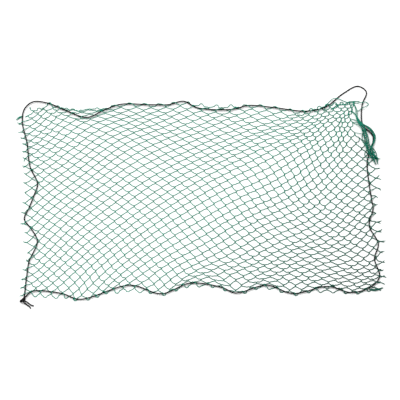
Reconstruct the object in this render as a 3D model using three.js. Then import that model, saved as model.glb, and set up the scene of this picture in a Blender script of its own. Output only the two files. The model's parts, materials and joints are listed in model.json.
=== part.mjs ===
// A knotted cargo net with a border rope, laid out flat on the ground.
//
// Units are millimetres. X runs along the net's long side, Y along its short side and Z up.
// The netting is 44 zigzag rows of twine. Each row runs along X, and meets the next row
// at every second bend, where the real net has a knot. The border rope is threaded over and
// under the outermost meshes, and its two ends are tied together at the corner with low X and low Y.

import * as THREE from 'three';

// ---- Driving dimensions ----------------------------------------------------------------------

const COLUMNS = 59;             // legs in one zigzag row, which is half meshes along X
const ROWS = 44;                // zigzag rows, which is half meshes along Y
const MESH_BAR = 54;            // longest distance between two neighbouring knots
const TWINE_WIDTH = 4;
const TWINE_HEIGHT = 3.4;
const ROPE_DIAMETER = 7;
const GAP = 0.3;                // between pieces that touch on the real net
const STUB_LENGTHS = [14, 24];  // cut twine ends beyond the side knots at low X and at high X
const BIGHT_REACH = 10.5;       // how far the end loops reach past the middle of the rope
const LONGEST_REACH = 42;       // and where the rope runs a few meshes further in
const KNOT_CLEARANCE = 10;      // from the middle of the rope to the nearest twine knots
const KNOT_SIZE = [27, 25, 19]; // the rope's corner knot
const FREE_ROWS = 8;            // bends at the far right corner that the rope runs past
const FREE_COLUMNS = 12;
const FREE_LEFT = 4;            // and bends cut off diagonally at the far left corner

const TWINE_GREEN = '#1f6e4c';
const ROPE_BLACK = '#161616';

// ---- Where the net lies ----------------------------------------------------------------------

// Knots of a coarse grid of meshes: LAY_COLUMNS and LAY_ROWS number the zigzag bends,
// and LAY gives the place of each crossing. Row 0 is the far edge.
const LAY_COLUMNS = [0, 8, 16, 24, 32, 40, 48, 54, 59];
const LAY_ROWS = [0, 3, 6, 12, 20, 28, 36, 44];
const LAY = [
  [
    [-1025, 715], [-806, 710], [-430, 730], [-75, 755], [270, 730],
    [610, 690], [812, 755], [922, 768], [972, 755],
  ],
  [
    [-1042, 620], [-802, 675], [-430, 665], [-80, 670], [260, 650],
    [595, 620], [802, 678], [908, 682], [962, 684],
  ],
  [
    [-1058, 525], [-785, 592], [-430, 595], [-90, 580], [250, 565],
    [580, 550], [790, 592], [895, 588], [962, 600],
  ],
  [
    [-1047, 365], [-760, 395], [-445, 430], [-110, 405], [225, 395],
    [535, 395], [740, 350], [885, 345], [1040, 345],
  ],
  [
    [-1047, 110], [-760, 115], [-460, 150], [-140, 150], [170, 140],
    [445, 60], [690, 5], [880, 10], [1055, 40],
  ],
  [
    [-1047, -220], [-770, -170], [-475, -155], [-185, -140], [95, -180],
    [375, -230], [685, -290], [897, -285], [1055, -235],
  ],
  [
    [-1023, -515], [-777, -490], [-513, -460], [-243, -450], [45, -490],
    [350, -515], [655, -525], [905, -555], [1085, -555],
  ],
  [
    [-1050, -790], [-800, -805], [-560, -772], [-290, -755], [-5, -715],
    [335, -732], [645, -755], [867, -765], [1045, -750],
  ],
];

// Creases where the far part was pulled together, from their strong ends to where they die out.
const CREASES = [
  { from: [660, 708], to: [150, 370], reach: 50, pull: 0.68 },
  { from: [925, 735], to: [790, 490], reach: 42, pull: 0.6 },
  { from: [845, 560], to: [850, 180], reach: 38, pull: 0.5 },
];
const CREASE_ONSET = 0.3;       // how soon before its strong end a crease sets in, as a share of its length

// How far knots lie off the smooth lay, and where the net is bunched up.
const UNEVEN = 2.2;
const UNEVEN_BUNCHED = 4;
const BUNCHED_AT = [920, 560];
const BUNCHED_SPREAD = [110, 190];

// How the netting is fitted to the rope.
const EDGE_ROWS = 6;            // rows that move along with the far or near edge
const SIDE_MESHES = 3;          // meshes at the border that may lie on the rope's outer side
const SETTLE_ROUNDS = 40;

// The border rope's route, from the corner knot along the left side and on round the net.
const ROPE_ROUTE = [
  [-1050, -806], [-1036, -643], [-1023, -523], [-974, -359], [-1012, -259], [-1053, -183], [-1024, -90],
  [-998, 0], [-976, 101], [-1021, 237], [-1041, 429], [-1070, 597], [-1056, 705], [-1005, 759], [-915, 747],
  [-813, 691], [-681, 633], [-579, 691], [-479, 738], [-297, 735], [-189, 736], [-99, 763],
  [-15, 710], [195, 698], [291, 729], [435, 714], [639, 683], [753, 714], [861, 827],
  [952, 888], [1003, 843], [977, 733], [980, 573], [1041, 477], [1005, 277], [1014, 109],
  [1031, -38], [1038, -99], [1014, -235], [1067, -379], [1044, -499], [1073, -643], [1017, -727], [903, -767],
  [765, -719], [555, -775], [399, -709], [213, -771], [129, -726], [-57, -693], [-231, -777],
  [-417, -709], [-717, -821], [-825, -775], [-999, -757], [-1044, -804],
];
const ROPE_KNOT_AT = [-1057, -832];
const TAIL_TIPS = [[-993, -869], [-1011, -889]];
const TAIL_START_Z = [11, 3.6];

// Route points where one length of the rope's solid stops and the next begins.
const ROPE_LENGTHS = [
  { name: 'rope_near_left', from: 0, to: 7 },
  { name: 'rope_far_left', from: 7, to: 13 },
  { name: 'rope_far', from: 13, to: 28 },
  { name: 'rope_corner_loop', from: 28, to: 32 },
  { name: 'rope_far_right', from: 32, to: 36 },
  { name: 'rope_near_right', from: 36, to: 42 },
  { name: 'rope_near', from: 42, to: 55 },
];
const ROPE_SIDES = 8;
const ROPE_STEP = 40;
const ROPE_END_GAP = 0.5;
const TAIL_GAP = 1;             // from the knot to where a tail starts

// The bunch of twine where the far right edge is gathered: [x, y, half width].
const GATHER = [
  [990, 590, 5], [1008, 540, 15], [1020, 480, 19], [1020, 420, 19], [1026, 370, 21],
  [1040, 320, 22], [1050, 285, 16], [1056, 262, 7],
];
const GATHER_HEIGHT = 17;
const GATHER_FULL_HALF = 14;    // half width from which the bunch has its full height
const GATHER_SIDES = 10;

// How finely the shapes are worked out.
const OUTLINE_POINTS_PER_SPAN = 8;
const CROSSING_STEPS = 60;      // places tried along a leg that passes over the rope
const CROSSING_HALVINGS = 20;
const SHORTEST_RISE = 0.04;     // share of a leg in which it climbs over the rope
const STUB_FAN = 0.35;          // radians by which the cut ends point up or down at most
const FLATTEST_BEND = 0.15;     // a flatter bend has no inner side of its own
const SHARPEST_MITRE = 2;
const KNOT_FACES = [16, 10];

// ---- Heights -----------------------------------------------------------------------------------

// Twine that passes under the rope lies on the ground, so the rope lies one twine above it.
const ROPE_BOTTOM = TWINE_HEIGHT + GAP;
const ROPE_AXIS_Z = ROPE_BOTTOM + ROPE_DIAMETER / 2;
const OVER_Z = ROPE_BOTTOM + ROPE_DIAMETER + GAP;
const CLEAR_OF_ROPE = ROPE_DIAMETER / 2 + TWINE_WIDTH / 2 + 3 * GAP;
const GATHER_BOTTOM = OVER_Z + TWINE_HEIGHT + GAP;

const net = new THREE.Group();

function addPiece(name, geometry, colour, roughness) {
  const material = new THREE.MeshStandardMaterial({ color: colour, roughness, metalness: 0 });
  const mesh = new THREE.Mesh(geometry, material);
  mesh.name = name;
  net.add(mesh);
  return mesh;
}

// A repeatable value from -1 to 1 for a whole number.
function scatter(seed) {
  const wave = Math.sin(seed * 127.1 + 311.7) * 43758.5453;
  return 2 * (wave - Math.floor(wave)) - 1;
}

// ---- The lay of the netting --------------------------------------------------------------------

// Smooth weights of the coarse grid's lines at one place between them (cubic Hermite).
function lineWeights(lines, at) {
  const last = lines.length - 2;
  let span = lines.findIndex((line) => line > at) - 1;
  if (span < 0) span = last;
  const width = lines[span + 1] - lines[span];
  const t = (at - lines[span]) / width;
  const weights = lines.map(() => 0);
  weights[span] += 2 * t ** 3 - 3 * t ** 2 + 1;
  weights[span + 1] += 3 * t ** 2 - 2 * t ** 3;
  const slopes = [[span, t ** 3 - 2 * t ** 2 + t], [span + 1, t ** 3 - t ** 2]];
  for (const [line, share] of slopes) {
    const before = Math.max(line - 1, 0);
    const after = Math.min(line + 1, lines.length - 1);
    const slope = (share * width) / (lines[after] - lines[before]);
    weights[after] += slope;
    weights[before] -= slope;
  }
  return weights;
}

function layAt(column, row) {
  const across = lineWeights(LAY_COLUMNS, column);
  const down = lineWeights(LAY_ROWS, row);
  const place = new THREE.Vector2();
  LAY.forEach((line, i) => line.forEach(([x, y], j) => {
    place.x += down[i] * across[j] * x;
    place.y += down[i] * across[j] * y;
  }));
  return place;
}

// Draws the meshes near a crease together, less and less towards where it dies out.
function crease(place, { from, to, reach, pull }) {
  const start = new THREE.Vector2(...from);
  const along = new THREE.Vector2(...to).sub(start);
  const length = along.length();
  along.normalize();
  const offset = place.clone().sub(start);
  const run = offset.dot(along) / length;
  const aside = new THREE.Vector2(-along.y, along.x);
  const distance = offset.dot(aside);
  const fade = THREE.MathUtils.smoothstep(run, -CREASE_ONSET, 0) * THREE.MathUtils.clamp(1 - run, 0, 1);
  const strength = pull * fade * Math.exp(-((distance / reach) ** 2));
  place.addScaledVector(aside, -strength * distance);
}

const ropeCurve = new THREE.CatmullRomCurve3(
  ROPE_ROUTE.map(([x, y]) => new THREE.Vector3(x, y, ROPE_AXIS_Z)), false, 'centripetal');
const ropeOutline = ropeCurve.getPoints(OUTLINE_POINTS_PER_SPAN * (ROPE_ROUTE.length - 1))
  .map((point) => new THREE.Vector2(point.x, point.y));
ropeOutline.push(ropeOutline[0].clone());

// Signed distance to the rope's middle, positive inside the net, and the way out.
function ropeDistance(place) {
  let best = { distance: Infinity };
  let inside = false;
  for (let i = 0; i + 1 < ropeOutline.length; i += 1) {
    const a = ropeOutline[i];
    const b = ropeOutline[i + 1];
    const edge = b.clone().sub(a);
    const t = THREE.MathUtils.clamp(place.clone().sub(a).dot(edge) / edge.lengthSq(), 0, 1);
    const foot = a.clone().addScaledVector(edge, t);
    const distance = foot.distanceTo(place);
    if (distance < best.distance) {
      best = { distance, foot, outward: new THREE.Vector2(-edge.y, edge.x).normalize() };
    }
    if ((a.y > place.y) !== (b.y > place.y)) {
      const crossing = a.x + ((place.y - a.y) / (b.y - a.y)) * (b.x - a.x);
      if (crossing > place.x) inside = !inside;
    }
  }
  best.signed = inside ? best.distance : -best.distance;
  return best;
}

const nodeKey = (column, row) => column * (ROWS + 1) + row;
const isKnot = (column, row) => (column + row) % 2 === 0;

function eachKnot(visit) {
  for (let row = 0; row <= ROWS; row += 1) {
    for (let column = 0; column <= COLUMNS; column += 1) {
      if (isKnot(column, row)) visit(column, row);
    }
  }
}

// The far corners' meshes, which stay inside the rope's loop.
const runsFree = (column, row) => column + row < FREE_LEFT
  || (column > COLUMNS - FREE_COLUMNS && row < FREE_ROWS);

// Moves the far and near edges' bends just past the rope, and the meshes behind them along.
function meetRope(knots) {
  for (let column = 0; column <= COLUMNS; column += 1) {
    for (const edgeRow of [0, ROWS]) {
      const wanted = ropeDistance(layAt(column, edgeRow));
      const reach = THREE.MathUtils.clamp(-wanted.signed, BIGHT_REACH, LONGEST_REACH);
      const target = wanted.foot.clone().addScaledVector(wanted.outward, reach);
      const shift = target.sub(layAt(column, edgeRow));
      if (runsFree(column, edgeRow)) continue;
      for (let step = 0; step < EDGE_ROWS; step += 1) {
        const row = Math.abs(edgeRow - step);
        const knot = knots.get(nodeKey(column, row));
        if (isKnot(column, row)) knot.addScaledVector(shift, (1 - step / EDGE_ROWS) ** 2);
      }
    }
  }
}

// The side of the rope where a knot belongs: 1 is inside the net, and -1 outside.
function sideOfRope(column, row, signedDistance) {
  const fromEnds = Math.min(column, COLUMNS - column);
  const fromSides = Math.min(row, ROWS - row);
  if (runsFree(column, row) || Math.min(fromEnds, fromSides) > SIDE_MESHES) return 1;
  if (fromEnds === 0 || fromSides === 0) return -1;
  return Math.sign(signedDistance);
}

// Keeps every knot clear of the rope, on its own side.
function clearRope(knots) {
  eachKnot((column, row) => {
    const knot = knots.get(nodeKey(column, row));
    const near = ropeDistance(knot);
    const side = sideOfRope(column, row, near.signed);
    if (side * near.signed < KNOT_CLEARANCE) {
      knot.copy(near.foot).addScaledVector(near.outward, -side * KNOT_CLEARANCE);
    }
  });
}

// Shortens every bar that came out longer than the twine allows.
function settle(knots) {
  for (let round = 0; round < SETTLE_ROUNDS; round += 1) {
    eachKnot((column, row) => {
      for (const side of [-1, 1]) {
        const other = knots.get(nodeKey(column + side, row + 1));
        if (row === ROWS || column + side < 0 || column + side > COLUMNS) continue;
        const knot = knots.get(nodeKey(column, row));
        const bar = other.clone().sub(knot);
        const excess = bar.length() - MESH_BAR;
        if (excess <= 0) continue;
        bar.normalize();
        const knotShare = row === 0 ? 0 : 0.5;
        const otherShare = row + 1 === ROWS ? 0 : 0.5;
        knot.addScaledVector(bar, excess * knotShare);
        other.addScaledVector(bar, -excess * otherShare);
      }
    });
  }
}

function unevenness(place) {
  const aside = (place.x - BUNCHED_AT[0]) / BUNCHED_SPREAD[0];
  const along = (place.y - BUNCHED_AT[1]) / BUNCHED_SPREAD[1];
  return UNEVEN + (UNEVEN_BUNCHED - UNEVEN) * Math.exp(-(aside ** 2) - along ** 2);
}

function layNet() {
  const knots = new Map();
  eachKnot((column, row) => {
    const place = layAt(column, row);
    for (const one of CREASES) crease(place, one);
    const seed = nodeKey(column, row);
    const reach = unevenness(place);
    place.x += reach * scatter(seed);
    place.y += reach * scatter(seed + 0.5);
    knots.set(seed, place);
  });
  meetRope(knots);
  settle(knots);
  clearRope(knots);
  return knots;
}

// ---- Twine rows --------------------------------------------------------------------------------

// Points where a leg rises over the rope: it is at full height while near the rope.
function overRope(from, to) {
  const near = [];
  for (let i = 1; i < CROSSING_STEPS; i += 1) {
    const share = i / CROSSING_STEPS;
    if (ropeDistance(from.clone().lerp(to, share)).distance < CLEAR_OF_ROPE) near.push(share);
  }
  const first = Math.max(near[0] - 1 / CROSSING_STEPS, SHORTEST_RISE);
  const last = Math.min(near[near.length - 1] + 1 / CROSSING_STEPS, 1 - SHORTEST_RISE);
  return [first, last].map((share) => from.clone().lerp(to, share));
}

// The cut end beyond a side knot, towards low X (-1) or high X (1).
function stubTip(knot, way) {
  const angle = STUB_FAN * scatter(knot.y);
  const heading = new THREE.Vector2(way * Math.cos(angle), Math.sin(angle));
  return knot.clone().addScaledVector(heading, STUB_LENGTHS[way < 0 ? 0 : 1]);
}

// How far a bend draws back from its knot, so that the two rows there just miss.
function drawBack(before, knot, after, side) {
  const toBefore = before.clone().sub(knot).normalize();
  const toAfter = after.clone().sub(knot).normalize();
  const inward = toBefore.clone().add(toAfter);
  if (inward.length() < FLATTEST_BEND) inward.set(toBefore.y, -toBefore.x);
  inward.normalize();
  if (inward.y * side < 0) inward.negate();
  const mitre = Math.min(1 / Math.abs(toBefore.cross(inward)), SHARPEST_MITRE);
  return inward.multiplyScalar((TWINE_WIDTH / 2) * mitre + GAP / 2);
}

// The row's points from one cut end to the other, with the heights of the twine's underside.
function rowPath(knots, row, crossings) {
  const line = [];
  for (let column = 0; column <= COLUMNS; column += 1) {
    line.push(knots.get(nodeKey(column, isKnot(column, row) ? row : row + 1)));
  }
  line.unshift(stubTip(line[0], -1));
  line.push(stubTip(line[line.length - 1], 1));
  const bends = line.map((place, i) => {
    const bend = THREE.MathUtils.clamp(i, 1, line.length - 2);
    const side = isKnot(bend - 1, row) ? -1 : 1;
    return place.clone().add(drawBack(line[bend - 1], line[bend], line[bend + 1], side));
  });
  const path = [];
  bends.forEach((place, i) => {
    path.push({ place, z: 0 });
    if (!crossings.has(legKey(row, i - 1))) return;
    for (const crossing of overRope(place, bends[i + 1])) path.push({ place: crossing, z: OVER_Z });
  });
  return path;
}

const legKey = (row, column) => `${row} ${column}`;

// The legs that pass over the rope: along the rope, every second leg that crosses it.
function overLegs(knots) {
  const found = [];
  for (let row = 0; row < ROWS; row += 1) {
    for (let column = 0; column < COLUMNS; column += 1) {
      const from = knots.get(nodeKey(column, isKnot(column, row) ? row : row + 1));
      const to = knots.get(nodeKey(column + 1, isKnot(column + 1, row) ? row : row + 1));
      if (ropeDistance(from).signed * ropeDistance(to).signed >= 0) continue;
      found.push({ key: legKey(row, column), run: ropeRun(from, to) });
    }
  }
  found.sort((a, b) => a.run - b.run);
  return new Set(found.filter((leg, i) => i % 2 === 0).map((leg) => leg.key));
}

// How far along the rope a leg crosses it.
function ropeRun(from, to) {
  let low = from.clone();
  let high = to.clone();
  for (let i = 0; i < CROSSING_HALVINGS; i += 1) {
    const middle = low.clone().lerp(high, 0.5);
    if (ropeDistance(middle).signed * ropeDistance(low).signed > 0) low = middle;
    else high = middle;
  }
  const foot = ropeDistance(low).foot;
  let run = 0;
  let best = { distance: Infinity, run: 0 };
  for (let i = 0; i + 1 < ropeOutline.length; i += 1) {
    const edge = ropeOutline[i + 1].clone().sub(ropeOutline[i]);
    const offset = foot.clone().sub(ropeOutline[i]);
    const t = THREE.MathUtils.clamp(offset.dot(edge) / edge.lengthSq(), 0, 1);
    const distance = ropeOutline[i].clone().addScaledVector(edge, t).distanceTo(foot);
    if (distance < best.distance) best = { distance, run: run + t * edge.length() };
    run += edge.length();
  }
  return best.run;
}

// A flat-bottomed, three-sided strand through the path's points, mitred at each bend.
function strandGeometry(path) {
  const rings = path.map(({ place, z }, i) => {
    const toBefore = (path[i - 1] ?? path[i]).place.clone().sub(place).normalize();
    const toAfter = (path[i + 1] ?? path[i]).place.clone().sub(place).normalize();
    const heading = toAfter.clone().sub(toBefore).normalize();
    const left = new THREE.Vector2(-heading.y, heading.x);
    const along = i === 0 ? toAfter : toBefore;
    const mitre = Math.min(1 / Math.abs(along.dot(heading)), SHARPEST_MITRE);
    const reach = (TWINE_WIDTH / 2) * mitre;
    return [
      new THREE.Vector3(place.x + left.x * reach, place.y + left.y * reach, z),
      new THREE.Vector3(place.x - left.x * reach, place.y - left.y * reach, z),
      new THREE.Vector3(place.x, place.y, z + TWINE_HEIGHT),
    ];
  });
  return skin(rings);
}

// A closed skin over a row of rings, each with the same number of points. Seen from the first
// ring towards the last, a ring's points run anticlockwise.
function skin(rings) {
  const sides = rings[0].length;
  const positions = rings.flat().flatMap((point) => point.toArray());
  const triangles = [];
  for (let ring = 0; ring + 1 < rings.length; ring += 1) {
    for (let side = 0; side < sides; side += 1) {
      const a = ring * sides + side;
      const b = ring * sides + ((side + 1) % sides);
      triangles.push(a, a + sides, b, b, a + sides, b + sides);
    }
  }
  const end = (rings.length - 1) * sides;
  for (let side = 1; side + 1 < sides; side += 1) {
    triangles.push(0, side, side + 1, end, end + side + 1, end + side);
  }
  const geometry = new THREE.BufferGeometry();
  geometry.setAttribute('position', new THREE.Float32BufferAttribute(positions, 3));
  geometry.setIndex(triangles);
  geometry.computeVertexNormals();
  return geometry;
}

function addNetting(knots) {
  const crossings = overLegs(knots);
  for (let row = 0; row < ROWS; row += 1) {
    const name = `twine_row_${String(row + 1).padStart(2, '0')}`;
    addPiece(name, strandGeometry(rowPath(knots, row, crossings)), TWINE_GREEN, 0.6);
  }
}

// ---- Border rope -------------------------------------------------------------------------------

function ropeSection() {
  const radius = ROPE_DIAMETER / 2;
  const points = [];
  for (let i = 0; i < ROPE_SIDES; i += 1) {
    const angle = (2 * Math.PI * (i + 0.5)) / ROPE_SIDES;
    points.push(new THREE.Vector2(radius * Math.cos(angle), radius * Math.sin(angle)));
  }
  return new THREE.Shape(points);
}

function tube(curve) {
  const steps = Math.max(2, Math.round(curve.getLength() / ROPE_STEP));
  return new THREE.ExtrudeGeometry(ropeSection(), { steps, extrudePath: curve, bevelEnabled: false });
}

// The stretch of the rope's curve between two route points, drawn back by half a gap at each end.
function ropeStretch(from, to) {
  const spans = ROPE_ROUTE.length - 1;
  const count = OUTLINE_POINTS_PER_SPAN * (to - from);
  const points = [];
  for (let i = 0; i <= count; i += 1) {
    points.push(ropeCurve.getPoint((from + (i * (to - from)) / count) / spans));
  }
  const trim = (end, next) => {
    const way = next.clone().sub(end).normalize();
    end.addScaledVector(way, ROPE_END_GAP);
  };
  trim(points[0], points[1]);
  trim(points[count], points[count - 1]);
  return new THREE.CatmullRomCurve3(points, false, 'centripetal');
}

function addRope() {
  for (const { name, from, to } of ROPE_LENGTHS) {
    addPiece(name, tube(ropeStretch(from, to)), ROPE_BLACK, 0.75);
  }
}

function addKnotAndTails() {
  const knot = new THREE.SphereGeometry(0.5, ...KNOT_FACES);
  knot.scale(...KNOT_SIZE);
  const piece = addPiece('rope_corner_knot', knot, ROPE_BLACK, 0.8);
  piece.position.set(...ROPE_KNOT_AT, KNOT_SIZE[2] / 2);
  TAIL_TIPS.forEach((tip, i) => {
    const centre = new THREE.Vector3(...ROPE_KNOT_AT, ROPE_AXIS_Z);
    const end = new THREE.Vector3(...tip, ROPE_DIAMETER / 2);
    const way = end.clone().sub(centre).normalize();
    const start = centre.clone().addScaledVector(way, KNOT_SIZE[0] / 2 + TAIL_GAP);
    start.z = TAIL_START_Z[i];
    const curve = new THREE.CatmullRomCurve3([start, start.clone().lerp(end, 0.5), end]);
    addPiece(`rope_tail_${i + 1}`, tube(curve), ROPE_BLACK, 0.75);
  });
}

// ---- The gathered edge -------------------------------------------------------------------------

function addGather() {
  const rings = GATHER.map(([x, y, half], i) => {
    const [xBefore, yBefore] = GATHER[Math.max(i - 1, 0)];
    const [xAfter, yAfter] = GATHER[Math.min(i + 1, GATHER.length - 1)];
    const heading = new THREE.Vector2(xAfter - xBefore, yAfter - yBefore).normalize();
    const left = new THREE.Vector2(-heading.y, heading.x);
    const high = (GATHER_HEIGHT / 2) * Math.min(1, half / GATHER_FULL_HALF);
    const ring = [];
    for (let side = 0; side < GATHER_SIDES; side += 1) {
      const angle = (2 * Math.PI * (side + 0.5)) / GATHER_SIDES;
      const aside = -half * Math.cos(angle);
      const up = GATHER_BOTTOM + high * (1 + Math.sin(angle));
      ring.push(new THREE.Vector3(x + left.x * aside, y + left.y * aside, up));
    }
    return ring;
  });
  addPiece('gathered_edge', skin(rings), TWINE_GREEN, 0.65);
}

addNetting(layNet());
addRope();
addKnotAndTails();
addGather();

// The origin lies on the ground under the middle of everything.
const middle = new THREE.Box3().setFromObject(net).getCenter(new THREE.Vector3());
net.position.set(-middle.x, -middle.y, 0);

export default net;
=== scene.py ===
"""The looks of a knotted cargo net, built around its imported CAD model.

Everything is in metres, in the CAD model's frame. The places of the netting's knots come from the
CAD rows of twine. Each row is laid through them again as round braided twine, with slack legs, a
tied knot at every crossing and cut ends at both short sides. The border rope follows the CAD
rope's route.
"""

import json
import math

import bpy
import numpy as np
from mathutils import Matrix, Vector

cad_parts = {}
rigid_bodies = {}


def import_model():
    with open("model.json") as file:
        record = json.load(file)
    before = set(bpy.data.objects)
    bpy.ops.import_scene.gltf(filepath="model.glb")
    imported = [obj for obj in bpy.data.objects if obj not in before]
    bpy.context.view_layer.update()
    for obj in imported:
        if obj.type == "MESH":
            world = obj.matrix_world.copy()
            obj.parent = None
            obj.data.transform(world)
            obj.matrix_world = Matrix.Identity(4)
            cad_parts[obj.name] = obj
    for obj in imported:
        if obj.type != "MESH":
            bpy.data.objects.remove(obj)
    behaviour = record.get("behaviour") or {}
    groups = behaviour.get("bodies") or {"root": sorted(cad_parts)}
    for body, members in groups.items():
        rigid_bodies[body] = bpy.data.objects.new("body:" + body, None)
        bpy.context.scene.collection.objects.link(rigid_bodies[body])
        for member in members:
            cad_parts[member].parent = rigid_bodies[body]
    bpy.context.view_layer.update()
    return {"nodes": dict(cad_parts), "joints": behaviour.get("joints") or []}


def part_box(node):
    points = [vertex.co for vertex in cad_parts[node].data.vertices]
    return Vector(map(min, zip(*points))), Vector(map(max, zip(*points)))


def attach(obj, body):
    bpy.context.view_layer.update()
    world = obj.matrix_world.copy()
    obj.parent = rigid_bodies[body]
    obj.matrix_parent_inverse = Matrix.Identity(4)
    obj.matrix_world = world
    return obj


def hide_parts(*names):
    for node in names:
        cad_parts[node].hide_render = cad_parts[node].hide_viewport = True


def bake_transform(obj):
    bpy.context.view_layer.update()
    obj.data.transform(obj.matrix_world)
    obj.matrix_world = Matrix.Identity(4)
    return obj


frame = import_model()

# ---- Sizes -------------------------------------------------------------------------------------

TWINE = 0.0046
TWINE_SIDES = 8
ROPE = 0.0076
ROPE_SIDES = 14
ROPE_STEP = 0.004  # between two rings of the rope's tube
MESH_BAR = 0.054  # length of a leg of twine from knot to knot
SLACK_SHOWN = 0.33  # how far a leg bows out on the ground, as a share of what its slack allows
LEG_START = 0.0095  # from a knot's middle to where its leg lies straight on the ground
SHORTEST_LEG = 2.2 * LEG_START
KNOT_SCALE = 0.66
KNOT_TWINE = 0.66  # how much thinner the twine is where a knot squeezes it
BIGHT_HALF = 0.011  # half width of an end loop's turn
ROPE_HEIGHT = 0.0082  # of its middle, where it lies on twine
OVER_ROPE = ROPE_HEIGHT + ROPE / 2 + TWINE / 2  # height of the middle of twine that lies over it
BESIDE_ROPE = ROPE_HEIGHT + 0.0014  # and where it leaves the rope's side
RIDGE_HEIGHTS = (0.0034, 0.0144)  # of the CAD strands' top line, on the ground and over the rope
RIDGE_TOLERANCE = 0.0002

# ---- The CAD model's own starting point ----------------------------------------------------------

# Routes below are stated from it. ROPE_KNOT_AT is the corner knot's place there.
ROPE_KNOT_AT = (-1.057, -0.832)

knot_low, knot_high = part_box("rope_corner_knot")
knot_middle = (knot_low + knot_high) / 2
SHIFT = np.array([knot_middle.x - ROPE_KNOT_AT[0], knot_middle.y - ROPE_KNOT_AT[1]])


def on_ground(x, y, height):
    """A point of the CAD's own coordinates in the frame."""
    return (x + SHIFT[0], y + SHIFT[1], height)


# ---- The camera --------------------------------------------------------------------------------

CAMERA_ELEVATION = math.radians(48.6)
CAMERA_DISTANCE = 110.0  # a long lens, as all meshes come out nearly the same size
PICTURE_WIDTH = 2.4  # on the ground, at the middle of the picture
AIM = Vector(on_ground(0.0, -0.0235, 0.0))


def add_camera():
    data = bpy.data.cameras.new("camera")
    camera = bpy.data.objects.new("camera", data)
    bpy.context.scene.collection.objects.link(camera)
    back = Vector((0, -math.cos(CAMERA_ELEVATION), math.sin(CAMERA_ELEVATION)))
    camera.location = AIM + back * CAMERA_DISTANCE
    camera.rotation_euler = back.to_track_quat("Z", "Y").to_euler()
    data.sensor_width = 36.0
    data.lens = data.sensor_width * CAMERA_DISTANCE / PICTURE_WIDTH
    data.clip_end = 2 * CAMERA_DISTANCE
    bpy.context.scene.camera = camera


add_camera()

# ---- Lines and tubes ---------------------------------------------------------------------------


def scatter(*seeds):
    """A repeatable value from -1 to 1 for some numbers."""
    wave = math.sin(sum(s * f for s, f in zip(seeds, (127.1, 311.7, 74.7))) + 0.7) * 43758.5453
    return 2 * (wave - math.floor(wave)) - 1


def smooth_line(points, samples):
    """A centripetal Catmull-Rom curve through points, with samples steps from each to the next."""
    p = np.asarray(points, float)
    p = np.vstack([2 * p[0] - p[1], p, 2 * p[-1] - p[-2]])
    gap = np.maximum(np.sqrt(np.linalg.norm(np.diff(p, axis=0), axis=1)), 1e-4)[:, None]
    slope = np.diff(p, axis=0) / gap
    across = (p[2:] - p[:-2]) / (gap[:-1] + gap[1:])
    tangent = slope[:-1] - across + slope[1:]
    start, end = p[1:-2], p[2:-1]
    leave, arrive = tangent[:-1] * gap[1:-1], tangent[1:] * gap[1:-1]
    line = []
    for step in range(samples):
        t = step / samples
        line.append(
            (2 * t**3 - 3 * t**2 + 1) * start
            + (t**3 - 2 * t**2 + t) * leave
            + (3 * t**2 - 2 * t**3) * end
            + (t**3 - t**2) * arrive
        )
    return np.vstack([np.stack(line, axis=1).reshape(-1, 3), p[-2]])


def run_along(line):
    """How far along the line each of its points lies."""
    return np.concatenate([[0], np.cumsum(np.linalg.norm(np.diff(line, axis=0), axis=1))])


def even_line(line, step):
    """The same line with points an even step apart."""
    run = run_along(line)
    at = np.linspace(0, run[-1], max(3, round(run[-1] / step) + 1))
    return np.stack([np.interp(at, run, line[:, i]) for i in range(3)], axis=1)


def carried_frames(line):
    """Two vectors across the line at each point, carried along it without twist."""
    ahead = np.gradient(line, axis=0)
    ahead /= np.maximum(np.linalg.norm(ahead, axis=1), 1e-12)[:, None]
    across = []
    side = Vector(ahead[0]).orthogonal().normalized()
    for way in map(Vector, ahead):
        side = (side - way * side.dot(way)).normalized()
        across.append(tuple(side))
    across = np.array(across)
    return ahead, across, np.cross(ahead, across)


# How a strand's end is rounded off: (how far beyond its last point, how wide), in radii.
END_RINGS = [(0.4, 0.75), (0.6, 0.02)]


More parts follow.
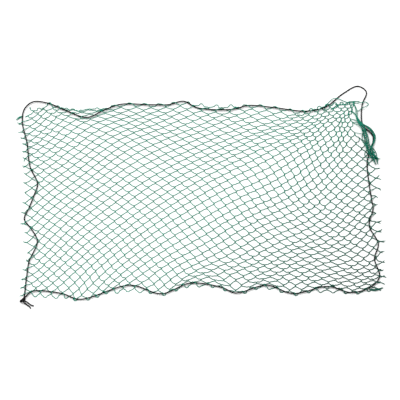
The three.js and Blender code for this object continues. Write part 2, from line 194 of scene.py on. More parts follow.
class Strands:
    """Round tubes along lines, gathered into one mesh. UV runs along (metres) and round (0 to 1)."""

    def __init__(self, sides):
        self.sides = sides
        self.points, self.quads, self.uvs = [], [], []
        self.count = 0

    def add(self, line, radius, rounded=True):
        line = np.asarray(line, float)
        radius = np.broadcast_to(np.asarray(radius, float), len(line)).copy()
        if rounded:
            line, radius = self.round_ends(line, radius)
        _, across, up = carried_frames(line)
        angle = np.arange(self.sides) * 2 * math.pi / self.sides
        ring = np.cos(angle)[None, :, None] * across[:, None] + np.sin(angle)[None, :, None] * up[:, None]
        self.points.append((line[:, None] + ring * radius[:, None, None]).reshape(-1, 3))
        rows = np.arange(len(line) - 1)[:, None] * self.sides + self.count
        this, following = np.arange(self.sides)[None], (np.arange(self.sides)[None] + 1) % self.sides
        corners = [rows + this, rows + following, rows + following + self.sides, rows + this + self.sides]
        self.quads.append(np.stack(corners, axis=-1).reshape(-1, 4))
        run = run_along(line)
        u = np.stack([run[:-1], run[:-1], run[1:], run[1:]], -1)[:, None]
        v = np.stack([this[0], this[0] + 1, this[0] + 1, this[0]], -1)[None] / self.sides
        whole = (len(rows), self.sides, 4)
        uv = np.stack([np.broadcast_to(u, whole), np.broadcast_to(v, whole)], axis=-1)
        self.uvs.append(uv.reshape(-1, 2))
        self.count += len(line) * self.sides

    @staticmethod
    def round_ends(line, radius):
        first = line[0] - line[1]
        last = line[-1] - line[-2]
        first = first / np.linalg.norm(first) * radius[0]
        last = last / np.linalg.norm(last) * radius[-1]
        before = [line[0] + beyond * first for beyond, _ in reversed(END_RINGS)]
        after = [line[-1] + beyond * last for beyond, _ in END_RINGS]
        opening = [width * radius[0] for _, width in reversed(END_RINGS)]
        closing = [width * radius[-1] for _, width in END_RINGS]
        return np.vstack([before, line, after]), np.concatenate([opening, radius, closing])

    def piece(self, name, material):
        points, quads = np.vstack(self.points), np.vstack(self.quads)
        mesh = bpy.data.meshes.new(name)
        mesh.vertices.add(len(points))
        mesh.vertices.foreach_set("co", points.astype(np.float32).ravel())
        mesh.loops.add(quads.size)
        mesh.loops.foreach_set("vertex_index", quads.astype(np.int32).ravel())
        mesh.polygons.add(len(quads))
        mesh.polygons.foreach_set("loop_start", np.arange(0, quads.size, 4, dtype=np.int32))
        mesh.polygons.foreach_set("use_smooth", np.ones(len(quads), bool))
        layer = mesh.uv_layers.new(name="lay")
        layer.data.foreach_set("uv", np.vstack(self.uvs).astype(np.float32).ravel())
        mesh.update()
        mesh.validate()
        mesh.materials.append(material)
        thing = bpy.data.objects.new(name, mesh)
        bpy.context.scene.collection.objects.link(thing)
        return thing


# ---- Materials ---------------------------------------------------------------------------------


class Nodes:
    """A short way to write a material's node tree."""

    def __init__(self, name):
        self.material = bpy.data.materials.new(name)
        self.material.use_nodes = True
        self.tree = self.material.node_tree
        self.shader = self.tree.nodes["Principled BSDF"]

    def add(self, kind, inputs=(), **settings):
        node = self.tree.nodes.new(kind)
        for key, value in settings.items():
            setattr(node, key, value)
        for key, value in dict(inputs).items():
            self.feed(node.inputs[key], value)
        return node

    def feed(self, socket, value):
        if isinstance(value, bpy.types.NodeSocket):
            self.tree.links.new(value, socket)
        else:
            socket.default_value = value

    def maths(self, operation, a, b=0.0, c=0.0):
        return self.add("ShaderNodeMath", {0: a, 1: b, 2: c}, operation=operation).outputs[0]

    def noise(self, scale, detail=4.0, distortion=0.0):
        place = self.add("ShaderNodeTexCoord").outputs["Object"]
        inputs = {"Vector": place, "Scale": scale, "Detail": detail, "Distortion": distortion}
        return self.add("ShaderNodeTexNoise", inputs).outputs["Fac"]

    def ramp(self, value, low, high):
        inputs = {"Value": value, "From Min": low, "From Max": high}
        return self.add("ShaderNodeMapRange", inputs).outputs["Result"]

    def mix(self, share, a, b):
        node = self.add("ShaderNodeMix", data_type="RGBA")
        self.feed(node.inputs["Factor"], share)
        self.feed(node.inputs["A"], a)
        self.feed(node.inputs["B"], b)
        return node.outputs["Result"]


# The way to the corner with high X and low Y, where the twine has the most painted shade and its braid is
# loosest.
TO_SHADED_CORNER = (0.8, -0.6)

MOST_PAINTED_SHADE = 0.75  # how far painted shade covers the twine's own colour
PAINTED_SHADE_BETWEEN = (0.1, 1.1)  # distances on the way to that corner over which it builds up
MOST_SHADE = 0.7  # how dark the darkest patches of painted shade in the bunch are
BUNCH_MIDDLE = (1.010, 0.430, 0.0)  # from the CAD's own starting point
BUNCH_ENDS = (0.11, 0.19)  # distances from there over which its patches fade out
BUNCH_PATCHES = 95.0  # scale of the noise that makes them
PATCH_EDGE = (0.49, 0.57)  # noise values between which a patch sets in

# What all braided cord shares: the scales of its noise and how much each kind shows.
FIBRE_NOISE = 9000.0
FIBRE_HEIGHT = 0.35
STRAND_NOISE = 420.0
STRAND_RAMP = (0.3, 0.75)
STRAND_DARKNESS = 0.35
STRAND_ROUGHNESS = 0.2
WEAR_NOISE = 11.0
WEAR_RAMP = (0.35, 0.65)
MOST_WEAR = 0.55
BRAID_RAMP = (0.35, 0.95)  # from the painted shade in the hollows between plaits to their tops
BUMP_STRENGTH = 0.7
BUMP_DEPTH = 0.09  # as a share of the cord's thickness
SHEEN_ROUGHNESS = 0.5


def painted_shade_share(n):
    """How much painted shade darkens the twine: from 0 to most towards the corner with high X and low Y.
    """
    place = n.add("ShaderNodeTexCoord").outputs["Object"]
    split = n.add("ShaderNodeSeparateXYZ", {"Vector": place})
    across = n.maths("MULTIPLY", split.outputs["Y"], TO_SHADED_CORNER[1])
    onward = n.maths("MULTIPLY_ADD", split.outputs["X"], TO_SHADED_CORNER[0], across)
    return n.maths("MULTIPLY", n.ramp(onward, *PAINTED_SHADE_BETWEEN), MOST_PAINTED_SHADE)


def shade_share(n):
    """Painted shade in patches in the bunch, where strands lie deep between others."""
    place = n.add("ShaderNodeTexCoord").outputs["Object"]
    inputs = {0: place, 1: on_ground(*BUNCH_MIDDLE)}
    away = n.add("ShaderNodeVectorMath", inputs, operation="DISTANCE").outputs["Value"]
    bunch = n.maths("SUBTRACT", MOST_SHADE, n.maths("MULTIPLY", n.ramp(away, *BUNCH_ENDS), MOST_SHADE))
    patches = n.ramp(n.noise(BUNCH_PATCHES, 3.0, 0.5), *PATCH_EDGE)
    return n.maths("MULTIPLY", bunch, patches)


def braided(name, pitch, plaits, thickness, dark, base, worn, roughness, sheen, gloss, painted_shade_colour=None):
    """Braided cord: crossing plaits that stand up, with painted shade between them, paler where it is
    worn.

    Cord that has a colour for its painted shade is darker towards the corner with high X and low Y, and
    darker in patches where it lies in the bunch: both are painted shade.
    """
    n = Nodes(name)
    uv = n.add("ShaderNodeUVMap", uv_map="lay").outputs["UV"]
    split = n.add("ShaderNodeSeparateXYZ", {"Vector": uv})
    along = n.maths("MULTIPLY", split.outputs["X"], math.pi / pitch)
    round_it = n.maths("MULTIPLY", split.outputs["Y"], math.pi * plaits)
    right = n.maths("ABSOLUTE", n.maths("SINE", n.maths("ADD", along, round_it)))
    left = n.maths("ABSOLUTE", n.maths("SINE", n.maths("SUBTRACT", along, round_it)))
    braid = n.maths("MAXIMUM", right, left)
    fibres = n.noise(FIBRE_NOISE, 2.0)
    height = n.maths("MULTIPLY_ADD", fibres, FIBRE_HEIGHT, braid)
    wear = n.ramp(n.noise(WEAR_NOISE, 3.0), *WEAR_RAMP)
    strands = n.ramp(n.noise(STRAND_NOISE, 2.0), *STRAND_RAMP)
    fair = n.mix(n.maths("MULTIPLY", wear, MOST_WEAR), base, worn)
    fair = n.mix(n.maths("MULTIPLY", strands, STRAND_DARKNESS), fair, dark)
    # Painted shade in the hollows between the plaits.
    colour = n.mix(n.ramp(braid, *BRAID_RAMP), dark, fair)
    if painted_shade_colour:
        # Painted shade: the twine darkens towards the corner with high X and low Y.
        colour = n.mix(painted_shade_share(n), colour, painted_shade_colour)
        # Painted shade in patches in the bunch, where strands lie deep between others.
        colour = n.mix(shade_share(n), colour, dark)
    n.feed(n.shader.inputs["Base Color"], colour)
    rough = n.maths("MULTIPLY_ADD", strands, STRAND_ROUGHNESS, roughness)
    n.feed(n.shader.inputs["Roughness"], rough)
    inputs = {"Strength": BUMP_STRENGTH, "Distance": thickness * BUMP_DEPTH, "Height": height}
    bump = n.add("ShaderNodeBump", inputs)
    n.feed(n.shader.inputs["Normal"], bump.outputs["Normal"])
    n.shader.inputs["Sheen Weight"].default_value = sheen
    n.shader.inputs["Sheen Roughness"].default_value = SHEEN_ROUGHNESS
    n.shader.inputs["Specular IOR Level"].default_value = gloss
    return n.material


twine_green = braided(
    "twine_green",
    pitch=0.0032,
    plaits=4,
    thickness=TWINE,
    dark=(0.0005, 0.060, 0.034, 1),
    base=(0.0005, 0.290, 0.180, 1),
    worn=(0.002, 0.420, 0.280, 1),
    roughness=0.42,
    sheen=0.02,
    gloss=0.12,
    # the colour of the painted shade towards the corner with high X and low Y
    painted_shade_colour=(0.006, 0.034, 0.024, 1),
)
rope_black = braided(
    "rope_black",
    pitch=0.0052,
    plaits=8,
    thickness=ROPE,
    dark=(0.0006, 0.0006, 0.0006, 1),
    base=(0.0025, 0.0026, 0.0026, 1),
    worn=(0.006, 0.0064, 0.0062, 1),
    roughness=0.6,
    sheen=0.01,
    gloss=0.08,
)

# ---- Which body each piece moves with -------------------------------------------------------------

FOLD = frame["joints"][0]
NEAR_BODY, FAR_BODY = FOLD["parent"], FOLD["child"]
FOLD_Y = FOLD["pos_m"][1]
BENDS_BEFORE = 0.012  # how far before and beyond the fold line a piece counts as crossing it
BENDS_BEYOND = 0.030
BEND_FROM = (0, FOLD_Y - BENDS_BEFORE, 0)
BEND_TO = (0, FOLD_Y + BENDS_BEYOND, 0)


def go_with_fold(piece):
    """The piece rides on the half of the net where it lies; where it crosses the fold it is left
    unattached, its transform baked in.
    """
    places = [v.co.y for v in piece.data.vertices]
    if max(places) <= BEND_FROM[1]:
        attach(piece, NEAR_BODY)
    elif min(places) >= BEND_TO[1]:
        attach(piece, FAR_BODY)
    else:
        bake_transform(piece)


# ---- The border rope -----------------------------------------------------------------------------

# The CAD rope's route, from the corner knot up the side with low X and on round the net.
ROPE_ROUTE = [
    (-1.050, -0.806), (-1.036, -0.643), (-1.023, -0.523), (-0.974, -0.359), (-1.012, -0.259),
    (-1.053, -0.183), (-1.024, -0.090), (-0.998, 0.000), (-0.976, 0.101), (-1.021, 0.237),
    (-1.041, 0.429), (-1.070, 0.597), (-1.056, 0.705), (-1.005, 0.759), (-0.915, 0.747),
    (-0.813, 0.691), (-0.681, 0.633), (-0.579, 0.691), (-0.479, 0.738), (-0.297, 0.735),
    (-0.189, 0.736), (-0.099, 0.763), (-0.015, 0.710), (0.195, 0.698), (0.291, 0.729),
    (0.435, 0.714), (0.639, 0.683), (0.753, 0.714), (0.861, 0.827), (0.952, 0.888),
    (1.003, 0.843), (0.977, 0.733), (0.980, 0.573), (1.041, 0.477), (1.005, 0.277),
    (1.014, 0.109), (1.031, -0.038), (1.038, -0.099), (1.014, -0.235), (1.067, -0.379),
    (1.044, -0.499), (1.073, -0.643), (1.017, -0.727), (0.903, -0.767), (0.765, -0.719),
    (0.555, -0.775), (0.399, -0.709), (0.213, -0.771), (0.129, -0.726), (-0.057, -0.693),
    (-0.231, -0.777), (-0.417, -0.709), (-0.717, -0.821), (-0.825, -0.775), (-0.999, -0.757),
    (-1.044, -0.804),
]
FREE_LOOP = range(28, 31)  # route points where no twine lies under it
TAIL_TIPS = [(-0.993, -0.869), (-1.011, -0.889)]
TAILS_APART = 0.003  # from the line between the two where they leave the knot
TAIL_LEAVES_AT = 0.012  # from the knot's middle
TAIL_STEP = 0.002  # between two rings of its tube
ROPE_SMOOTHING = 40  # steps of its curve between two route points


def add_rope():
    heights = [ROPE / 2 if i in FREE_LOOP else ROPE_HEIGHT for i in range(len(ROPE_ROUTE))]
    route = [on_ground(x, y, z) for (x, y), z in zip(ROPE_ROUTE, heights)]
    line = even_line(smooth_line(route, ROPE_SMOOTHING), ROPE_STEP)
    line[:, 2] = np.maximum(line[:, 2], ROPE / 2)
    strands = Strands(ROPE_SIDES)
    strands.add(line, ROPE / 2)
    rope = strands.piece("border_rope", rope_black)
    go_with_fold(rope)
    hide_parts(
        *(n for n in frame["nodes"] if n.startswith("rope_") and "knot" not in n and "tail" not in n)
    )


def tail_route(i):
    """One end of the rope, from where it leaves the corner knot."""
    start = np.array([knot_middle.x, knot_middle.y, ROPE_HEIGHT])
    end = np.array(on_ground(*TAIL_TIPS[i], ROPE / 2))
    way = (end - start) / np.linalg.norm(end - start)
    aside = np.array([-way[1], way[0], 0]) * TAILS_APART * (1 - 2 * i)
    return [
        start + way * TAIL_LEAVES_AT + aside,
        start + way * (TAIL_LEAVES_AT + 0.01) + aside * 1.5,
        (start + end) / 2 + aside * 0.5,
        start + (end - start) * 0.8 - aside,
        end,
    ]


def add_tails():
    for i in range(len(TAIL_TIPS)):
        line = even_line(smooth_line(tail_route(i), 12), TAIL_STEP)
        strands = Strands(ROPE_SIDES)
        strands.add(line, ROPE / 2)
        tail = strands.piece(f"rope_end_{i + 1}", rope_black)
        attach(tail, NEAR_BODY)
        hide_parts(f"rope_tail_{i + 1}")


# The overhand knot in both ends of the rope, seen along the rope: (along, aside, up), in
# multiples of the rope's diameter, from where the rope comes in to where its ends leave.
OVERHAND = [
    (-1.2, 0.9, 1.5), (0.3, 1.3, 2.2), (1.5, 0.3, 2.5), (1.0, -1.2, 1.9),
    (-0.4, -1.6, 1.0), (-1.5, -0.6, 0.8), (-1.1, 0.9, 1.0), (0.2, 0.9, 1.3),
]
LEAN = 0.45  # of each end to its own side of that line, in the same multiples


def add_corner_knot():
    start = np.array([knot_middle.x, knot_middle.y, 0])
    tips = np.mean([on_ground(*tip, 0) for tip in TAIL_TIPS], axis=0)
    came_from = np.array(on_ground(*ROPE_ROUTE[0], 0))
    along = (tips - came_from) / np.linalg.norm(tips - came_from)
    aside = np.array([-along[1], along[0], 0])
    strands = Strands(ROPE_SIDES)
    for lean, rope_end, tail in ((-LEAN, ROPE_ROUTE[0], 1), (LEAN, ROPE_ROUTE[-1], 0)):
        points = [on_ground(*rope_end, ROPE_HEIGHT)]
        for a, b, up in OVERHAND:
            place = start + (a * along + (b + lean * (1 - 0.3 * a)) * aside) * ROPE
            points.append((place[0], place[1], max(0.5, up + lean * 0.3) * ROPE))
        points += tail_route(tail)[:1]
        line = smooth_line(points, 6)
        strands.add(line, ROPE / 2)
    knot = strands.piece("corner_knot", rope_black)
    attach(knot, NEAR_BODY)
    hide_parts("rope_corner_knot")


add_rope()
add_tails()
add_corner_knot()

# ---- Where twine is bunched ------------------------------------------------------------------------

# The places of bunched twine, from the CAD's own starting point: (x, y, half width, underside).
# The far rows run on along this one, inside the rope's bend and then over the rope.
ROWS_BUNCH = [
    (0.942, 0.690, 0.005, 0.004), (0.943, 0.640, 0.005, 0.005), (0.953, 0.598, 0.006, 0.007),
    (0.972, 0.560, 0.009, 0.010), (0.990, 0.515, 0.016, 0.004), (0.998, 0.465, 0.018, 0.003),
    (1.004, 0.415, 0.015, 0.005), (1.013, 0.378, 0.015, 0.012), (1.032, 0.335, 0.020, 0.006),
    (1.050, 0.298, 0.021, 0.002), (1.058, 0.262, 0.012, 0.001),
]

# The count of a bunch's own strands, and its places. The second lies along the outer side of the
# rope's bend, and the third sticks out at the far corner with low X.
FAR_BUNCHES = [
    (4, ROWS_BUNCH[3:]),
    (
        5,
        [
            (0.948, 0.625, 0.004, 0.006), (0.966, 0.592, 0.004, 0.010), (0.991, 0.566, 0.006, 0.006),
            (1.016, 0.546, 0.008, 0.003), (1.039, 0.514, 0.008, 0.003), (1.050, 0.482, 0.006, 0.003),
            (1.047, 0.445, 0.006, 0.003), (1.036, 0.405, 0.008, 0.004), (1.030, 0.370, 0.011, 0.012),
            (1.044, 0.332, 0.014, 0.010), (1.068, 0.304, 0.008, 0.003),
        ],
    ),
    (3, [(-1.073, 0.642, 0.003, 0.002), (-1.090, 0.632, 0.006, 0.001), (-1.104, 0.621, 0.005, 0.001)]),
]
NEAR_BUNCHES = [
    (
        5,
        [
            (1.018, -0.738, 0.003, 0.001), (1.040, -0.745, 0.007, 0.001), (1.065, -0.741, 0.007, 0.001),
            (1.088, -0.730, 0.004, 0.001),
        ],
    ),
]
BUNCH_TURN = 0.55  # radians by which a strand winds round its bunch from point to point
BUNCH_STEP = 2.4  # radians between one strand of a bunch and the next
BUNCH_HEIGHT = 0.6  # a bunch's height as a share of its width

# Loose strands at the far edge with high X: (x, y, height of the middle).
LOOSE_STRANDS = [
    [
        (0.748, 0.690, 0.003), (0.757, 0.726, 0.003), (0.782, 0.768, 0.003), (0.806, 0.782, 0.012),
        (0.826, 0.784, 0.010), (0.852, 0.778, 0.003), (0.880, 0.762, 0.003), (0.915, 0.756, 0.003),
        (0.945, 0.752, 0.004), (0.972, 0.748, 0.013), (1.000, 0.758, 0.006), (1.015, 0.746, 0.003),
        (1.006, 0.728, 0.006), (0.984, 0.708, 0.013), (0.955, 0.690, 0.004),
    ],
    [
        (0.790, 0.700, 0.003), (0.825, 0.732, 0.003), (0.873, 0.744, 0.003), (0.897, 0.760, 0.006),
        (0.938, 0.768, 0.003), (0.958, 0.764, 0.004),
    ],
    [
        (1.012, 0.402, 0.016), (1.034, 0.396, 0.006), (1.053, 0.368, 0.003), (1.063, 0.336, 0.004),
        (1.058, 0.312, 0.010),
    ],
    [(0.985, 0.530, 0.012), (0.975, 0.480, 0.004), (0.985, 0.430, 0.003), (1.005, 0.400, 0.010)],
    [(1.012, 0.386, 0.014), (0.990, 0.345, 0.003), (1.003, 0.306, 0.014), (1.044, 0.304, 0.010)],
]

# How many of the far rows' last legs lie in the first bunch, row by row.
LEGS_BUNCHED = [4, 4, 4, 4, 4, 3, 3, 3, 2, 2, 1, 1]
POINTS_IN_BUNCH = 4  # of the bunch's route that such a row follows at least
ROW_SPREAD = 0.8  # how far out from the bunch's middle it lies, as a share of the half width
STARTS_IN_BUNCH = 3  # route points at which a long bunch's own strands start in turn
SHORT_ROUTE = 4  # points in the longest route whose strands all start at its first one
STRAND_SMOOTHING = 6  # steps of a bunched or loose strand's curve between two points


def wound_points(route, strand, spread):
    """One strand's points as it winds round the middle of a bunch, along the bunch's route."""
    middle = np.array([on_ground(x, y, bottom) for x, y, _, bottom in route])
    ways = np.gradient(middle, axis=0)
    points = []
    for j, (_, _, half_width, bottom) in enumerate(route):
        left = np.array([-ways[j][1], ways[j][0]]) / np.linalg.norm(ways[j][:2])
        angle = strand * BUNCH_STEP + j * BUNCH_TURN
        place = middle[j][:2] + left * half_width * spread * math.cos(angle)
        lift = BUNCH_HEIGHT * half_width * (1 + spread * math.sin(angle))
        points.append((*place, bottom + TWINE / 2 + lift))
    return points


# ---- The netting's knots, from the CAD rows --------------------------------------------------------

ROW_NODES = sorted(n for n in frame["nodes"] if n.startswith("twine_row_"))
ROWS = len(ROW_NODES)


def ridge_line(node):
    """The line along the top of a CAD strand, from its end with low X."""
    mesh = frame["nodes"][node].data
    keys = [tuple(round(c, 5) for c in v.co) for v in mesh.vertices]
    top = {k for k in keys if min(abs(k[2] - h) for h in RIDGE_HEIGHTS) < RIDGE_TOLERANCE}
    beside = {k: set() for k in top}
    for edge in mesh.edges:
        a, b = (keys[i] for i in edge.vertices)
        if a != b and a in top and b in top:
            beside[a].add(b)
            beside[b].add(a)
    at = min((k for k in top if len(beside[k]) == 1), key=lambda k: k[0])
    line = [at]
    while True:
        onward = [k for k in beside[at] if k not in line[-2:]]
        if not onward:
            return [np.array(k) for k in line]
        at = onward[0]
        line.append(at)


class Row:
    """A CAD row's cut ends, its bends, and where its legs lie over the rope."""

    def __init__(self, node):
        line = ridge_line(node)
        self.tips = [line[0][:2], line[-1][:2]]
        self.bends = []
        self.over = {}
        for point in line[1:-1]:
            if point[2] > RIDGE_HEIGHTS[0] + 0.001:
                self.over.setdefault(len(self.bends) - 1, []).append(point[:2])
            else:
                self.bends.append(point[:2])


rows = [Row(node) for node in ROW_NODES]
COLUMNS = len(rows[0].bends) - 1


def knot_row(row, column):
    """The line of knots that a row's bend belongs to: its own, or the next one nearer."""
    return row if (row + column) % 2 == 0 else row + 1


def find_knots():
    shared = {}
    for row, strand in enumerate(rows):
        for column, place in enumerate(strand.bends):
            shared.setdefault((column, knot_row(row, column)), []).append(place)
    return {key: np.mean(places, axis=0) for key, places in shared.items()}


knots = find_knots()

# ---- Twine ---------------------------------------------------------------------------------------

# The two strands of a netting knot, as (aside, up the net, height) in millimetres: the loop of the
# row above, and the row below that is brought up through it, round its neck and over itself.
HANGING_LOOP = [(-2.3, 4.9, 4.2), (-2.4, 0.8, 4.1), (0.0, -3.4, 4.2), (2.4, 0.8, 4.1), (2.3, 4.9, 4.2)]
WRAPPED = [
    (-2.7, -5.0, 2.2), (-0.7, -2.2, 1.8), (0.5, 1.2, 5.2), (2.4, 3.4, 6.9), (4.6, 3.8, 4.3),
    (2.2, 4.6, 1.8), (-2.2, 4.6, 1.8), (-4.6, 3.0, 4.3), (-2.3, 1.4, 6.9), (0.4, -0.2, 7.2),
    (2.9, -2.0, 6.2), (3.4, -5.0, 2.8),
]
MM = 0.001

# How far legs turn towards the net's own direction at a knot, and how far they wave off their
# lines, on the net's smooth part and on its crumpled part.
SMOOTH_UNTIL = -0.4
CRUMPLED_FROM = 0.6
TURN_AT_KNOT = (0.45, 1.0)
WAVE = (0.0012, 0.0026)

# A slack leg: the share of its length where its two middle points lie, the most that it bows out,
# and how much of that it has already where it leaves its knots. A shallow bow of height h makes
# a line longer by h * h / (BOW_FACTOR * length).
MIDDLE_SHARES = (0.37, 0.63)
WIDEST_BOW = 0.14
BOW_AT_KNOT = 0.25
BOW_FACTOR = 0.375
RISE_TO_ROPE = 0.001  # of a leg halfway to the rope
CREST = 0.0004  # by which twine arches over the top of the rope

# An open end loop, as (along, outward) in multiples of its half width.
BIGHT_TURN = [(-1, -0.45), (-0.75, 0.1), (0, 0.45), (0.75, 0.1), (1, -0.45)]
WIDEST_BIGHT = 0.25  # half width as a share of the distance between the knots beside it
BIGHT_START_HEIGHT = 0.7 * BESIDE_ROPE  # where its leg has come over the rope

# The twine's braid is looser, and so thicker, towards the corner with high X and low Y.
SWELLING = 0.2
LOOSE_BETWEEN = (0.1, 1.0)

# Cut ends, as shares of the CAD rows' ends.
STUB_SHARE = 0.64
STUB_SPREAD = 0.7
STUB_CURL = 0.7
STUB_LIFT = 0.0025

# Fibres at a cut end.
FIBRES = 5
FIBRE_LENGTH = 0.007
FIBRE_RADIUS = 0.0004
FIBRE_BEND = 0.0008


def unit(v):
    return v / max(np.linalg.norm(v), 1e-9)


def neighbours(column, line, upward):
    """The places that a knot's two legs lead to, up or down the net."""
    row = line - 1 if upward else line
    other = line - 1 if upward else line + 1
    found = []
    for side in (-1, 1):
        if not 0 <= row < ROWS:
            found.append(None)
        elif 0 <= column + side <= COLUMNS:
            found.append(knots[column + side, other])
        else:
            found.append(rows[row].tips[0 if side < 0 else 1])
    return found


def knot_axes(column, line):
    """The knot's directions aside and up the net."""
    here = knots[column, line]
    up = np.zeros(2)
    for upward, sign in ((True, 1), (False, -1)):
        for place in neighbours(column, line, upward):
            if place is not None:
                up += sign * unit(place - here)
    up = unit(up) if np.linalg.norm(up) > 0.2 else np.array([0.0, 1.0])
    return np.array([up[1], -up[0]]), up


def knot_points(column, line, above):
    """One strand's points in a knot. Every second line of knots is tied the other way round."""
    here = knots[column, line]
    aside, up = knot_axes(column, line)
    shape = HANGING_LOOP if above else WRAPPED
    if line % 2:
        shape = [(-a, b, h) for a, b, h in reversed(shape)]
    points = []
    for a, b, h in shape:
        place = here + KNOT_SCALE * MM * (a * aside + b * up)
        points.append((*place, KNOT_SCALE * MM * h))
    return points


def bight_points(here, before, after, heights):
    """An open end loop that turns round beyond the rope."""
    outward = unit(unit(here - before) + unit(here - after))
    along = unit(after - before)
    half = min(BIGHT_HALF, WIDEST_BIGHT * np.linalg.norm(after - before))
    shares = np.linspace(0, 1, len(BIGHT_TURN))
    points = []
    for (a, o), share in zip(BIGHT_TURN, shares):
        place = here + half * (a * along + o * outward)
        points.append((*place, heights[0] + (heights[1] - heights[0]) * share))
    return points


def crumple(place):
    """From 0 where the net lies smooth to 1 on its side with high X, where it is crumpled."""
    share = min(1.0, max(0.0, (place[0] - SMOOTH_UNTIL) / (CRUMPLED_FROM - SMOOTH_UNTIL)))
    return share * share * (3 - 2 * share)


def leg_points(start, end, ways, over, seed):
    """A leg's points between two knots: on the ground, curved and slack, or over the rope.

    The knots hold the twine along the net, so a leg leaves each of them in a way of its own.
    """
    span = end - start
    length = np.linalg.norm(span)
    ahead = span / length
    ground = TWINE / 2
    if over:
        near, far = over
        return [
            (*(0.5 * (start + near)), ground + RISE_TO_ROPE),
            (*near, BESIDE_ROPE),
            (*(0.5 * (near + far)), OVER_ROPE + CREST),
            (*far, BESIDE_ROPE),
            (*(0.5 * (end + far)), ground + RISE_TO_ROPE),
        ]
    loose = crumple(start)
    turn = TURN_AT_KNOT[0] + (TURN_AT_KNOT[1] - TURN_AT_KNOT[0]) * loose
    wave = WAVE[0] + (WAVE[1] - WAVE[0]) * loose
    slack = math.sqrt(BOW_FACTOR * max(0.0, MESH_BAR - length) * length)
    bow = min(SLACK_SHOWN * slack * (1 + 0.5 * scatter(*seed)), WIDEST_BOW * length)
    aside = np.array([ahead[1], -ahead[0]])
    if aside[1] > 0:
        aside = -aside
    if length < SHORTEST_LEG:
        return [(*((start + end) / 2 + aside * bow), ground)]
    first = start + LEG_START * unit(ahead + turn * ways[0])
    last = end + LEG_START * unit(turn * ways[1] - ahead)
    points = [(*(first + aside * BOW_AT_KNOT * bow), ground)]
    for i, share in enumerate(MIDDLE_SHARES):
        middle = start + span * share + aside * (bow + wave * scatter(*seed, 7 + i))
        points.append((*middle, ground))
    points.append((*(last + aside * BOW_AT_KNOT * bow), ground))
    return points


def stub_points(knot, tip, seed):
    """A cut end, from its knot outwards."""
    reach = (tip - knot) * (STUB_SHARE + STUB_SPREAD * scatter(*seed))
    aside = np.array([-reach[1], reach[0]]) * STUB_CURL * scatter(seed[1], seed[0], 3)
    points = []
    for share in (0.3, 0.65, 1.0):
        place = knot + reach * share + aside * share**2
        points.append((*place, TWINE / 2 + STUB_LIFT * max(0.0, scatter(*seed, 5)) * share))
    return points


def is_bight(row, column):
    """Whether a row's bend is an open loop at the far or near edge, with no knot in it."""
    return knot_row(row, column) in (0, ROWS) and 0 < column < COLUMNS


def leaving_way(row, column):
    """The direction in which a row's legs leave the knot at one of its bends."""
    line = knot_row(row, column)
    _, up = knot_axes(column, line)
    return -up if line == row else up


def bunched_points(row, start):
    """The last part of a row that runs from its last knot into the bunch and along it."""
    points = wound_points(ROWS_BUNCH, row, ROW_SPREAD)
    reached = [tuple(p) for p in points if p[1] < start[1] - LEG_START]
    return reached[: POINTS_IN_BUNCH + row % 3]


def row_line(row):
    """A row's points from one cut end to the other, and the twine's radius at each."""
    strand = rows[row]
    bunched = row < len(LEGS_BUNCHED)
    last = COLUMNS - LEGS_BUNCHED[row] if bunched else COLUMNS
    places = [knots[c, knot_row(row, c)] for c in range(last + 1)]
    line = list(reversed(stub_points(places[0], strand.tips[0], (row, 0))))
    radius = [TWINE / 2] * len(line)
    for column in range(last + 1):
        at = knot_row(row, column)
        if is_bight(row, column) and column < last:
            heights = [
                BIGHT_START_HEIGHT if c in strand.over else TWINE / 2 for c in (column - 1, column)
            ]
            line += bight_points(places[column], places[column - 1], places[column + 1], heights)
            radius += [TWINE / 2] * (len(line) - len(radius))
        else:
            line += knot_points(column, at, above=at == row + 1)
            radius += [KNOT_TWINE * TWINE / 2] * (len(line) - len(radius))
        if column < last:
            seed = (row, column, 1)
            ways = [leaving_way(row, c) for c in (column, column + 1)]
            leg = leg_points(places[column], places[column + 1], ways, strand.over.get(column), seed)
            if is_bight(row, column):
                leg = leg[1:]
            if is_bight(row, column + 1):
                leg = leg[:-1]
            line += leg
        elif bunched:
            line += bunched_points(row, places[last])
        else:
            line += stub_points(places[last], strand.tips[1], (row, 1))
        radius += [TWINE / 2] * (len(line) - len(radius))
    return line, radius


def add_frayed_end(strands, line):
    """Loose fibres that spread from the end of a cut strand."""
    end = line[-1]
    way = unit(end - line[-2])
    for i in range(FIBRES):
        spread = np.array([scatter(i, end[0] * 100), scatter(i, end[1] * 100), 0.4 * scatter(i, 7)])
        tip = end + FIBRE_LENGTH * (way + 0.5 * spread)
        tip[2] = max(tip[2], FIBRE_RADIUS)
        middle = (end + tip) / 2 + FIBRE_BEND * spread
        strands.add(smooth_line([end - way * TWINE / 2, middle, tip], 2), FIBRE_RADIUS)


def add_frayed_strand(strands, line, radius):
    """A strand with loose fibres at both ends."""
    strands.add(line, radius)
    add_frayed_end(strands, line)
    add_frayed_end(strands, line[::-1])


def add_row(row):
    strands = Strands(TWINE_SIDES)
    line, radius = row_line(row)
    line = smooth_line(line, 2)
    radius = np.interp(np.arange(len(line)) / 2, np.arange(len(radius)), radius)
    loose = np.interp(line[:, :2] @ TO_SHADED_CORNER, LOOSE_BETWEEN, (0, 1))
    radius = radius * (1 + SWELLING * loose)
    line[:, 2] = np.maximum(line[:, 2], radius)
    add_frayed_strand(strands, line, radius)
    piece = strands.piece(f"netting_{row + 1:02d}", twine_green)
    go_with_fold(piece)
    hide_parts(ROW_NODES[row])


for row in range(ROWS):
    add_row(row)

# ---- The bunches and loose strands -----------------------------------------------------------------


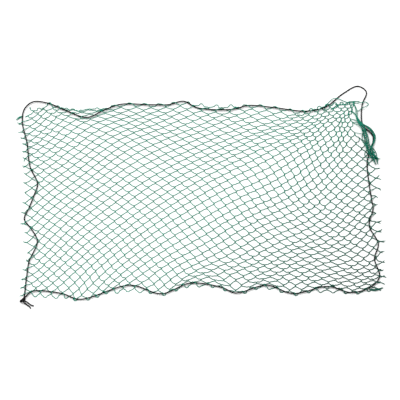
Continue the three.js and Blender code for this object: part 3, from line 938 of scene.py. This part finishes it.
def add_bunch(strands, count, route):
    """Strands that wind round each other along a route, with frayed ends."""
    for i in range(count):
        points = wound_points(route, i, math.sqrt((i + 0.5) / count))
        first = i % STARTS_IN_BUNCH if len(route) > SHORT_ROUTE else 0
        last = len(points) - i % 2  # every second strand stops one point early
        add_frayed_strand(strands, smooth_line(points[first:last], STRAND_SMOOTHING), TWINE / 2)


def add_bunches(name, bunches, loose, stands_for, body):
    strands = Strands(TWINE_SIDES)
    for count, route in bunches:
        add_bunch(strands, count, route)
    for route in loose:
        line = smooth_line([on_ground(*point) for point in route], STRAND_SMOOTHING)
        add_frayed_strand(strands, line, TWINE / 2)
    piece = strands.piece(name, twine_green)
    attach(piece, body)
    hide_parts(stands_for)


add_bunches("gathered_twine", FAR_BUNCHES, LOOSE_STRANDS, "gathered_edge", FAR_BODY)
add_bunches("corner_twine", NEAR_BUNCHES, [], ROW_NODES[-1], NEAR_BODY)

# ---- Floor and light -------------------------------------------------------------------------------

FLOOR_HALF = 60.0
FLOOR_WHITE = (0.9, 0.9, 0.9, 1)
SUN_STRENGTH = 1.6
SUN_WIDTH = math.radians(40)
SUN_TURN = (math.radians(-25), math.radians(-20), 0)


def add_floor():
    mesh = bpy.data.meshes.new("floor")
    corners = [(-1, -1), (1, -1), (1, 1), (-1, 1)]
    mesh.from_pydata([(x * FLOOR_HALF, y * FLOOR_HALF, 0) for x, y in corners], [], [(0, 1, 2, 3)])
    floor = bpy.data.objects.new("floor", mesh)
    bpy.context.scene.collection.objects.link(floor)
    n = Nodes("floor_white")
    n.shader.inputs["Base Color"].default_value = FLOOR_WHITE
    n.shader.inputs["Roughness"].default_value = 0.9
    n.shader.inputs["Specular IOR Level"].default_value = 0.1
    mesh.materials.append(n.material)


def add_light():
    world = bpy.data.worlds.new("studio")
    bpy.context.scene.world = world
    world.use_nodes = True
    background = world.node_tree.nodes["Background"]
    background.inputs["Color"].default_value = (1, 1, 1, 1)
    background.inputs["Strength"].default_value = 1.0
    data = bpy.data.lights.new("softbox", "SUN")
    data.energy = SUN_STRENGTH
    data.angle = SUN_WIDTH
    lamp = bpy.data.objects.new("softbox", data)
    lamp.rotation_euler = SUN_TURN
    bpy.context.scene.collection.objects.link(lamp)
    bpy.context.scene.view_settings.view_transform = "Standard"


add_floor()
add_light()
